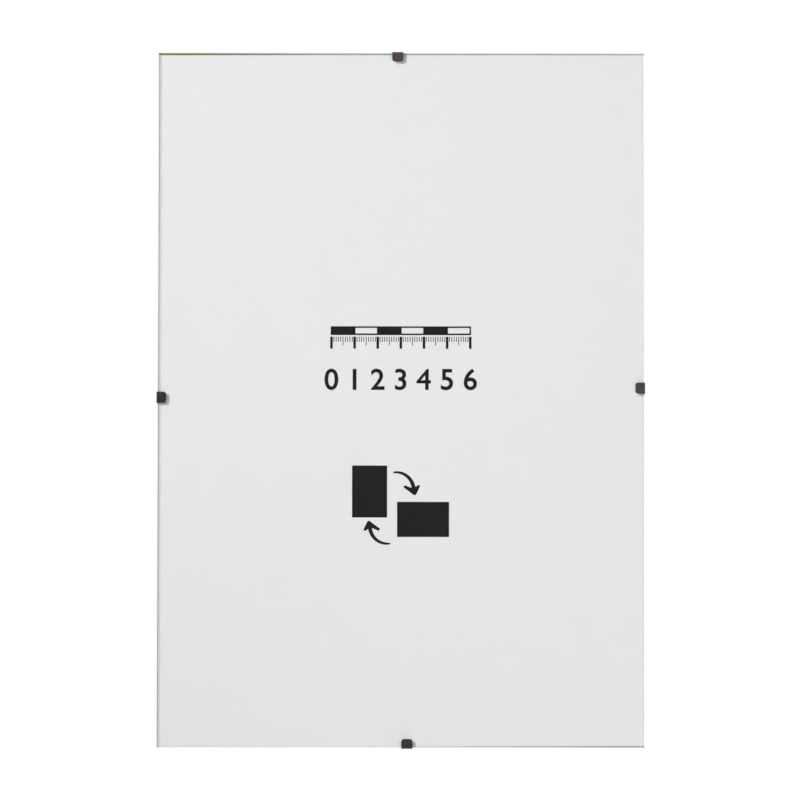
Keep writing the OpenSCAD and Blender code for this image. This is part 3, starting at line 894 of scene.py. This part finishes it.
# %% Print the numbers
NUMBER_ROW = 8.1
TEXT_SIZE = 12.75
NUMBER_BOLD = 0.2
FOUR = (
    ((-3.3, -1.2), (-3.3, -0.3), (1.2, 5.1), (2.05, 5.1), (2.05, 0.2), (3.0, 0.2), (3.0, -1.2),
     (2.05, -1.2), (2.05, -4.0), (0.5, -4.0), (0.5, -1.2)),
    ((-1.3, 0.2), (0.5, 2.35), (0.5, 0.2)))


def font_number(number):
    """A number of the font, made bolder."""
    data = bpy.data.curves.new("number", "FONT")
    data.body = str(number)
    data.size = TEXT_SIZE * MM
    data.offset = NUMBER_BOLD * MM
    data.resolution_u = 6
    data.align_x = "CENTER"
    data.align_y = "CENTER"
    return data


def drawn_number(outlines):
    """A filled curve from straight sided outlines. One inside another is a window."""
    data = bpy.data.curves.new("number", "CURVE")
    data.dimensions = "2D"
    data.fill_mode = "BOTH"
    for outline in outlines:
        spline = data.splines.new("POLY")
        spline.points.add(len(outline) - 1)
        spline.use_cyclic_u = True
        for point, (x, y) in zip(spline.points, outline):
            point.co = (x * MM, y * MM, 0.0, 1.0)
    return data


def number_mesh(number):
    """One bold number as a closed plate, centred on the origin and facing the reader."""
    data = drawn_number(FOUR) if number == 4 else font_number(number)
    data.extrude = INK_FILM / 2
    text = bpy.data.objects.new("number", data)
    bpy.context.scene.collection.objects.link(text)
    graph = bpy.context.evaluated_depsgraph_get()
    mesh = bpy.data.meshes.new_from_object(text.evaluated_get(graph))
    bpy.data.objects.remove(text)
    mesh.transform(Matrix.Rotation(math.pi / 2, 4, "X"))
    return mesh


def print_numbers():
    """The numbers of the scale, as one piece."""
    shape = bmesh.new()
    for number in range(SCALE_VALUES["Centimetres"] + 1):
        mesh = number_mesh(number)
        place = on_sheet(SCALE_PLACE[0] + CENTIMETRE * number, NUMBER_ROW)
        place.y -= INK_FILM / 2
        mesh.transform(Matrix.Translation(place))
        shape.from_mesh(mesh)
        bpy.data.meshes.remove(mesh)
    bmesh.ops.remove_doubles(shape, verts=shape.verts, dist=0.002 * MM)
    bmesh.ops.recalc_face_normals(shape, faces=shape.faces)
    made = bpy.data.meshes.new("print_numbers")
    shape.to_mesh(made)
    shape.free()
    made.materials.append(ink)
    piece = bpy.data.objects.new("print_numbers", made)
    bpy.context.scene.collection.objects.link(piece)
    return piece


print_on_sheet(print_numbers())

# %% [markdown]
# The turning figure
#
# Two solid shapes, one upright and one sideways, and two curved arrows between them: the common
# sign for something that can be turned. An arrow is one outline. Its shaft is a band along an
# arc, thin at the tail and wider towards the head, and its head is a swallow's tail of two
# barbs. The corners are rounded, as a pen or a printing plate rounds them. The second arrow is
# the first one turned by half a turn about the middle of the sign.

# %% Draw the outlines of the figure
UPRIGHT_MIDDLE = (-13.43, -39.82)
SIDEWAYS_MIDDLE = (9.67, -51.84)
SHAPE_SHORT = 15.15
SHAPE_LONG = 22.45
TURN_MIDDLE = (-3.85, -46.92)
ARC_MIDDLE = Vector((-1.98, -39.07))
ARC_RADIUS = 7.56
ARC_FROM, ARC_TO = math.radians(-9.5), math.radians(78.0)
SHAFT_WIDTH = 1.7
TAIL_WIDTH = 0.6
WIDENING = 0.6
HEAD_LENGTH = 4.4
BARBS = ((4.95, math.radians(-31.0)), (6.55, math.radians(36.5)))
BARB_END = 1.1
NOTCH_BACK = 3.75
NOTCH_ROUND, BARB_ROUND, TIP_ROUND = 0.3, 0.4, 1.1


def turned(vector, angle):
    """A flat vector turned against the clock."""
    return Matrix.Rotation(angle, 2) @ vector


def rounded(corners, steps=5):
    """A closed outline whose corners, given as (point, radius), are rounded by short curves."""
    points = []
    for i, (corner, radius) in enumerate(corners):
        if not radius:
            points.append(corner)
            continue
        before = corner + (corners[i - 1][0] - corner).normalized() * radius
        after = corner + (corners[(i + 1) % len(corners)][0] - corner).normalized() * radius
        for k in range(steps + 1):
            t = k / steps
            points.append((1 - t) ** 2 * before + 2 * t * (1 - t) * corner + t ** 2 * after)
    return points


def rectangle(middle, width, height):
    """Four corners about a middle."""
    return [Vector((middle[0] + x * width / 2, middle[1] + z * height / 2))
            for x, z in ((-1, -1), (1, -1), (1, 1), (-1, 1))]


def arrow(steps=20):
    """The outline of one curved arrow: out along the shaft, round the head and back."""
    outer = []
    inner = []
    for k in range(steps + 1):
        share = k / steps
        angle = ARC_FROM + (ARC_TO - ARC_FROM) * share
        out_of_arc = Vector((math.sin(angle), math.cos(angle)))
        half = (TAIL_WIDTH + (SHAFT_WIDTH - TAIL_WIDTH) * share ** WIDENING) / 2
        outer.append((ARC_MIDDLE + out_of_arc * (ARC_RADIUS + half), 0.0))
        inner.append((ARC_MIDDLE + out_of_arc * (ARC_RADIUS - half), 0.0))
    forward = Vector((math.cos(ARC_TO), -math.sin(ARC_TO)))
    shaft_end = ARC_MIDDLE + Vector((math.sin(ARC_TO), math.cos(ARC_TO))) * ARC_RADIUS
    tip = shaft_end + forward * HEAD_LENGTH
    across = turned(forward, math.pi / 2) * SHAFT_WIDTH / 2
    notch = tip - forward * NOTCH_BACK
    head = [(notch + across, NOTCH_ROUND)]
    for is_first, (length, angle) in zip((True, False), BARBS):
        along = turned(-forward, angle)
        end = tip + along * length
        half = turned(along, math.pi / 2) * BARB_END / 2
        head += [(end + half, BARB_ROUND), (end - half, BARB_ROUND)]
        if is_first:
            head.append((tip, TIP_ROUND))
    head.append((notch - across, NOTCH_ROUND))
    return rounded(outer + head + inner[::-1])


def half_turn(points):
    """The same outline turned by half a turn about the middle of the sign."""
    middle = Vector(TURN_MIDDLE)
    return [2 * middle - p for p in points]


def outline_mesh(name, outlines):
    """Closed loops of edges in the XY plane, in metres."""
    shape = bmesh.new()
    for points in outlines:
        corners = [shape.verts.new((p.x * MM, p.y * MM, 0.0)) for p in points]
        for i, corner in enumerate(corners):
            shape.edges.new((corners[i - 1], corner))
    mesh = bpy.data.meshes.new(name)
    shape.to_mesh(mesh)
    shape.free()
    return mesh


FIGURE = [
    rectangle(UPRIGHT_MIDDLE, SHAPE_SHORT, SHAPE_LONG),
    rectangle(SIDEWAYS_MIDDLE, SHAPE_LONG, SHAPE_SHORT),
    arrow(), half_turn(arrow())]
print("figure outlines have", [len(points) for points in FIGURE], "points")

# %% Print the figure
def outline_tree():
    """Loops of edges become curves, and the curves become ink."""
    tree, given, out = new_tree("printed_outlines", [
        ("Edges", "Geometry"), ("Film", "Float"), ("Place", "Vector"), ("Ink", "Material")])
    curves = add_node(tree, "GeometryNodeMeshToCurve", {"Mesh": given["Edges"]})
    tree.links.new(film(tree, curves.outputs[0], given), out.inputs[0])
    return tree


print_on_sheet(made_by(outline_tree(), "print_turning_figure", {
    "Film": INK_FILM, "Place": on_sheet(0.0, 0.0), "Ink": ink}, outline_mesh("figure_edges", FIGURE)))
